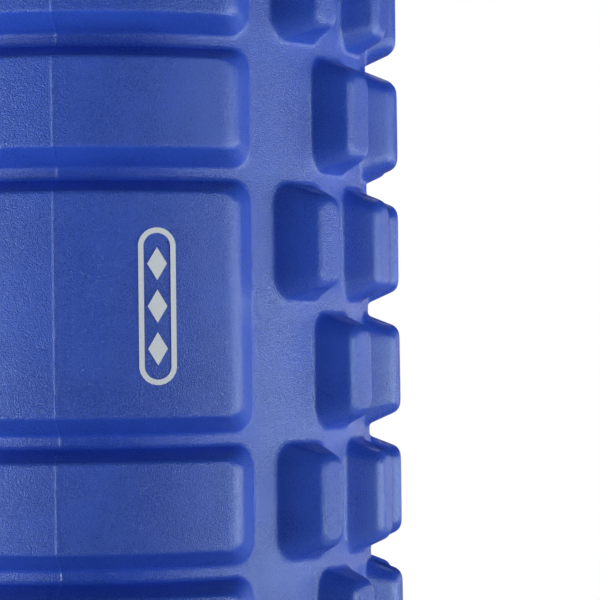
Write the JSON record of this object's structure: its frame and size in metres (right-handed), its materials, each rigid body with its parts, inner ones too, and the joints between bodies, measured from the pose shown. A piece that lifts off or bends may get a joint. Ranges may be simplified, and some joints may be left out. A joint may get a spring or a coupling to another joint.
{
  "type": "foam roller",
  "caption": "Upright grid-pattern massage roller: blue moulded foam with raised blocks and grooves on a rigid hollow core tube.",
  "frame": {"origin": "on the roller's axis at its lower end face, the end it stands on", "axes": "+Z along the roller's axis, from its lower end to its upper end; -Y towards the front seam, through the middle of the wide blocks; +X towards the small blocks"},
  "size_m": [0.14, 0.14, 0.33],
  "materials": {
    "foam": "closed-cell moulded foam skin, satin, fine grain",
    "core": "extruded rigid plastic, semi-matte",
    "print": "heat-transferred print, flat"
  },
  "bodies": {
    "root": {"core_tube": "core", "foam_half_left": "foam", "foam_half_right": "foam", "print_film": "print"}
  },
  "joints": []
}
